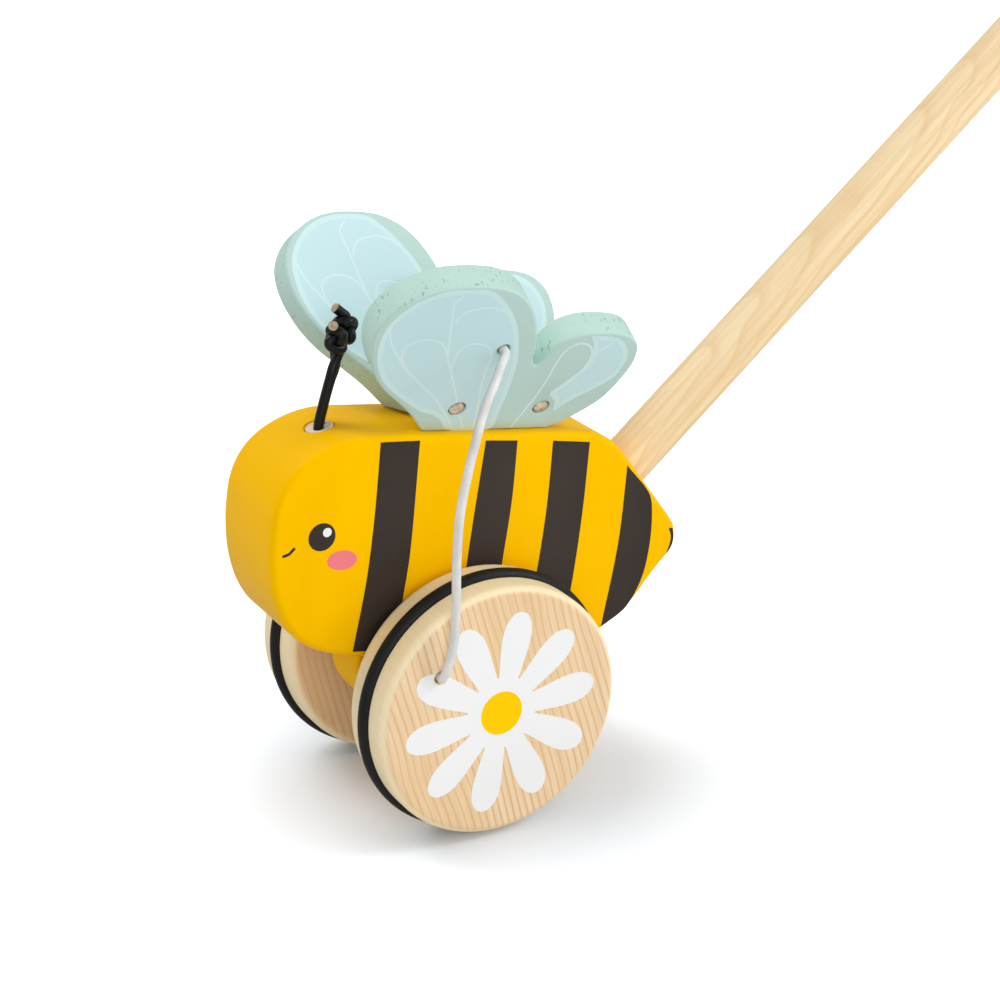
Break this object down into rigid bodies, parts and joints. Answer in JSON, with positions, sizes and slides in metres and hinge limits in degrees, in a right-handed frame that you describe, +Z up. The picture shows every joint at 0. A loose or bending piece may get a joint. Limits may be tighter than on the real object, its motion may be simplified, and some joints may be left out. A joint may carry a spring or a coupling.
{
  "type": "toddler push toy",
  "caption": "Wooden bee on two rubber-tyred wheels with a push stick; cords from the wheels pull its hinged wings so that they flap as it rolls.",
  "frame": {"origin": "on the ground, under the middle of the toy's length and in its middle plane", "axes": "+X from the bee's nose towards the free end of the handle, +Y towards the bee's right flank, +Z up"},
  "size_m": [0.4944, 0.0976, 0.3972],
  "materials": {
    "yellow_paint": "satin yellow lacquer on wood",
    "sage_paint": "matt sage and pale blue paint on wood",
    "maple": "clear matt lacquer",
    "pine": "sanded, clear matt lacquer",
    "birch": "bare, sanded",
    "black_rubber": "satin",
    "black_cord": "waxed cord",
    "white_cord": "smooth elastic cord",
    "natural_cord": "elastic cord"
  },
  "bodies": {
    "bee": {"body_block": "yellow_paint", "axle_block": "yellow_paint", "block_dowel_front": "birch", "block_dowel_rear": "birch", "spacer_left": "birch", "spacer_right": "birch", "wing_rib": "yellow_paint", "hinge_cord_front": "natural_cord", "hinge_cord_rear": "natural_cord", "flap_cord_left": "white_cord", "flap_cord_right": "white_cord", "antenna_bush": "birch", "antenna_cord_left": "black_cord", "antenna_cord_right": "black_cord", "handle_dowel": "pine", "handle_knob": "pine"},
    "wheelset": {"axle_rod": "birch", "wheel_left": "maple", "wheel_right": "maple", "tyre_left": "black_rubber", "tyre_right": "black_rubber"},
    "left_wing": {"wing_left": "sage_paint"},
    "right_wing": {"wing_right": "sage_paint"}
  },
  "joints": [
    {"name": "wheel_spin", "type": "hinge", "parent": "bee", "child": "wheelset", "pos_m": [-0.18546, 0, 0.042], "axis": [0, 1, 0], "continuous": true, "deforming": ["flap_cord_left", "flap_cord_right"]},
    {"name": "wing_left_flap", "type": "hinge", "parent": "bee", "child": "left_wing", "pos_m": [-0.17405, -0.013, 0.12078], "axis": [0.9888, 0, -0.1495], "range_deg": [0, 19.5], "stiffness_Nm_per_rad": 0.1, "deforming": ["flap_cord_left", "hinge_cord_front", "hinge_cord_rear"]},
    {"name": "wing_right_flap", "type": "hinge", "parent": "bee", "child": "right_wing", "pos_m": [-0.17405, 0.013, 0.12078], "axis": [-0.9888, 0, 0.1495], "range_deg": [-3, 16.5], "stiffness_Nm_per_rad": 0.1, "deforming": ["flap_cord_right", "hinge_cord_front", "hinge_cord_rear"]}
  ]
}
